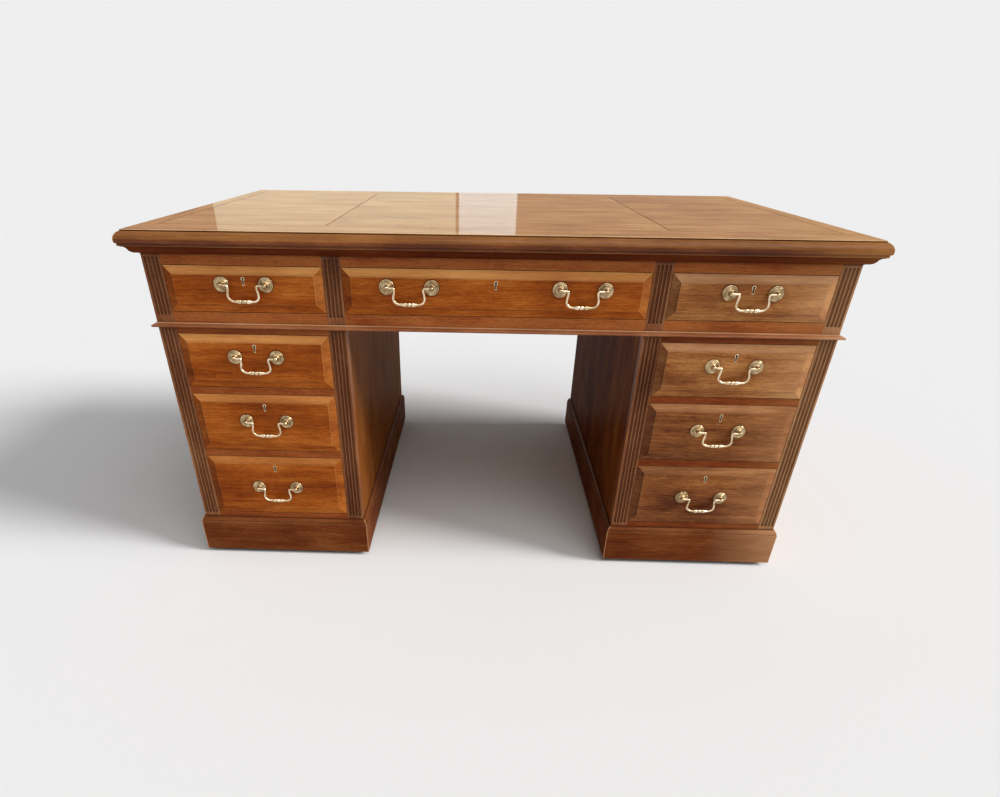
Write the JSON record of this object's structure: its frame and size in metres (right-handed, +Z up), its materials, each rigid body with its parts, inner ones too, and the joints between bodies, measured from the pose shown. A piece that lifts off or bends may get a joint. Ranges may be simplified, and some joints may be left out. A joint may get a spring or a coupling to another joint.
{
  "type": "pedestal desk",
  "caption": "Twin-pedestal writing desk with a moulded top, frieze drawers over two banks of fielded drawers, fluted pilasters, swan-neck handles and sunk castors.",
  "frame": {"origin": "on the floor under the middle of the desk", "axes": "+X along the desk to the sitter's right, drawers open towards -Y, +Z up"},
  "size_m": [1.524, 0.94, 0.79],
  "materials": {
    "mahogany": "french polished",
    "drawer_mahogany": "french polished",
    "top_veneer": "french polished",
    "oak": "raw, waxed",
    "brass": "aged",
    "castor": "worn"
  },
  "bodies": {
    "desk": {"bed_moulding": "mahogany", "frieze_case": "mahogany", "frieze_pilasters": "mahogany", "frieze_rails": "mahogany", "left_pedestal_case": "mahogany", "left_pedestal_rails": "mahogany", "left_plinth": "mahogany", "pedestal_pilasters": "mahogany", "right_pedestal_case": "mahogany", "right_pedestal_rails": "mahogany", "right_plinth": "mahogany", "top_edge_moulding": "mahogany", "top_frame": "mahogany", "top_panels": "top_veneer", "waist_bead": "mahogany"},
    "left_frieze_drawer": {"left_frieze_drawer_front": "drawer_mahogany", "left_frieze_drawer_box": "oak", "left_frieze_drawer_brass": "brass"},
    "left_frieze_bail": {"left_frieze_bail": "brass"},
    "left_top_drawer": {"left_top_drawer_front": "drawer_mahogany", "left_top_drawer_box": "oak", "left_top_drawer_brass": "brass"},
    "left_top_bail": {"left_top_bail": "brass"},
    "left_middle_drawer": {"left_middle_drawer_front": "drawer_mahogany", "left_middle_drawer_box": "oak", "left_middle_drawer_brass": "brass"},
    "left_middle_bail": {"left_middle_bail": "brass"},
    "left_bottom_drawer": {"left_bottom_drawer_front": "drawer_mahogany", "left_bottom_drawer_box": "oak", "left_bottom_drawer_brass": "brass"},
    "left_bottom_bail": {"left_bottom_bail": "brass"},
    "right_frieze_drawer": {"right_frieze_drawer_front": "drawer_mahogany", "right_frieze_drawer_box": "oak", "right_frieze_drawer_brass": "brass"},
    "right_frieze_bail": {"right_frieze_bail": "brass"},
    "right_top_drawer": {"right_top_drawer_front": "drawer_mahogany", "right_top_drawer_box": "oak", "right_top_drawer_brass": "brass"},
    "right_top_bail": {"right_top_bail": "brass"},
    "right_middle_drawer": {"right_middle_drawer_front": "drawer_mahogany", "right_middle_drawer_box": "oak", "right_middle_drawer_brass": "brass"},
    "right_middle_bail": {"right_middle_bail": "brass"},
    "right_bottom_drawer": {"right_bottom_drawer_front": "drawer_mahogany", "right_bottom_drawer_box": "oak", "right_bottom_drawer_brass": "brass"},
    "right_bottom_bail": {"right_bottom_bail": "brass"},
    "centre_frieze_drawer": {"centre_frieze_drawer_front": "drawer_mahogany", "centre_frieze_drawer_box": "oak", "centre_frieze_drawer_brass": "brass"},
    "centre_bail_1": {"centre_bail_1": "brass"},
    "centre_bail_2": {"centre_bail_2": "brass"},
    "left_front_inner_castor": {"left_front_inner_castor": "castor"},
    "left_front_outer_castor": {"left_front_outer_castor": "castor"},
    "left_back_inner_castor": {"left_back_inner_castor": "castor"},
    "left_back_outer_castor": {"left_back_outer_castor": "castor"},
    "right_front_inner_castor": {"right_front_inner_castor": "castor"},
    "right_front_outer_castor": {"right_front_outer_castor": "castor"},
    "right_back_inner_castor": {"right_back_inner_castor": "castor"},
    "right_back_outer_castor": {"right_back_outer_castor": "castor"}
  },
  "joints": [
    {"name": "left_frieze_drawer_slide", "type": "slide", "parent": "desk", "child": "left_frieze_drawer", "axis": [0, -1, 0], "range_m": [0, 0.42]},
    {"name": "left_frieze_bail_hinge", "type": "hinge", "parent": "left_frieze_drawer", "child": "left_frieze_bail", "pos_m": [-0.5245, -0.4556, 0.686], "axis": [-1, 0, 0], "range_deg": [-10, 100]},
    {"name": "left_top_drawer_slide", "type": "slide", "parent": "desk", "child": "left_top_drawer", "axis": [0, -1, 0], "range_m": [0, 0.42]},
    {"name": "left_top_bail_hinge", "type": "hinge", "parent": "left_top_drawer", "child": "left_top_bail", "pos_m": [-0.5245, -0.4556, 0.532], "axis": [-1, 0, 0], "range_deg": [-10, 100]},
    {"name": "left_middle_drawer_slide", "type": "slide", "parent": "desk", "child": "left_middle_drawer", "axis": [0, -1, 0], "range_m": [0, 0.42]},
    {"name": "left_middle_bail_hinge", "type": "hinge", "parent": "left_middle_drawer", "child": "left_middle_bail", "pos_m": [-0.5245, -0.4556, 0.3795], "axis": [-1, 0, 0], "range_deg": [-10, 100]},
    {"name": "left_bottom_drawer_slide", "type": "slide", "parent": "desk", "child": "left_bottom_drawer", "axis": [0, -1, 0], "range_m": [0, 0.42]},
    {"name": "left_bottom_bail_hinge", "type": "hinge", "parent": "left_bottom_drawer", "child": "left_bottom_bail", "pos_m": [-0.5245, -0.4556, 0.202], "axis": [-1, 0, 0], "range_deg": [-10, 100]},
    {"name": "right_frieze_drawer_slide", "type": "slide", "parent": "desk", "child": "right_frieze_drawer", "axis": [0, -1, 0], "range_m": [0, 0.42]},
    {"name": "right_frieze_bail_hinge", "type": "hinge", "parent": "right_frieze_drawer", "child": "right_frieze_bail", "pos_m": [0.5245, -0.4556, 0.686], "axis": [-1, 0, 0], "range_deg": [-10, 100]},
    {"name": "right_top_drawer_slide", "type": "slide", "parent": "desk", "child": "right_top_drawer", "axis": [0, -1, 0], "range_m": [0, 0.42]},
    {"name": "right_top_bail_hinge", "type": "hinge", "parent": "right_top_drawer", "child": "right_top_bail", "pos_m": [0.5245, -0.4556, 0.532], "axis": [-1, 0, 0], "range_deg": [-10, 100]},
    {"name": "right_middle_drawer_slide", "type": "slide", "parent": "desk", "child": "right_middle_drawer", "axis": [0, -1, 0], "range_m": [0, 0.42]},
    {"name": "right_middle_bail_hinge", "type": "hinge", "parent": "right_middle_drawer", "child": "right_middle_bail", "pos_m": [0.5245, -0.4556, 0.3795], "axis": [-1, 0, 0], "range_deg": [-10, 100]},
    {"name": "right_bottom_drawer_slide", "type": "slide", "parent": "desk", "child": "right_bottom_drawer", "axis": [0, -1, 0], "range_m": [0, 0.42]},
    {"name": "right_bottom_bail_hinge", "type": "hinge", "parent": "right_bottom_drawer", "child": "right_bottom_bail", "pos_m": [0.5245, -0.4556, 0.202], "axis": [-1, 0, 0], "range_deg": [-10, 100]},
    {"name": "centre_frieze_drawer_slide", "type": "slide", "parent": "desk", "child": "centre_frieze_drawer", "axis": [0, -1, 0], "range_m": [0, 0.42]},
    {"name": "centre_bail_1_hinge", "type": "hinge", "parent": "centre_frieze_drawer", "child": "centre_bail_1", "pos_m": [-0.179, -0.4556, 0.686], "axis": [-1, 0, 0], "range_deg": [-10, 100]},
    {"name": "centre_bail_2_hinge", "type": "hinge", "parent": "centre_frieze_drawer", "child": "centre_bail_2", "pos_m": [0.179, -0.4556, 0.686], "axis": [-1, 0, 0], "range_deg": [-10, 100]},
    {"name": "left_front_inner_castor_swivel", "type": "hinge", "parent": "desk", "child": "left_front_inner_castor", "pos_m": [-0.34, -0.417, 0.042], "axis": [0, 0, 1], "continuous": true},
    {"name": "left_front_outer_castor_swivel", "type": "hinge", "parent": "desk", "child": "left_front_outer_castor", "pos_m": [-0.709, -0.417, 0.042], "axis": [0, 0, 1], "continuous": true},
    {"name": "left_back_inner_castor_swivel", "type": "hinge", "parent": "desk", "child": "left_back_inner_castor", "pos_m": [-0.34, 0.417, 0.042], "axis": [0, 0, 1], "continuous": true},
    {"name": "left_back_outer_castor_swivel", "type": "hinge", "parent": "desk", "child": "left_back_outer_castor", "pos_m": [-0.709, 0.417, 0.042], "axis": [0, 0, 1], "continuous": true},
    {"name": "right_front_inner_castor_swivel", "type": "hinge", "parent": "desk", "child": "right_front_inner_castor", "pos_m": [0.34, -0.417, 0.042], "axis": [0, 0, 1], "continuous": true},
    {"name": "right_front_outer_castor_swivel", "type": "hinge", "parent": "desk", "child": "right_front_outer_castor", "pos_m": [0.709, -0.417, 0.042], "axis": [0, 0, 1], "continuous": true},
    {"name": "right_back_inner_castor_swivel", "type": "hinge", "parent": "desk", "child": "right_back_inner_castor", "pos_m": [0.34, 0.417, 0.042], "axis": [0, 0, 1], "continuous": true},
    {"name": "right_back_outer_castor_swivel", "type": "hinge", "parent": "desk", "child": "right_back_outer_castor", "pos_m": [0.709, 0.417, 0.042], "axis": [0, 0, 1], "continuous": true}
  ]
}
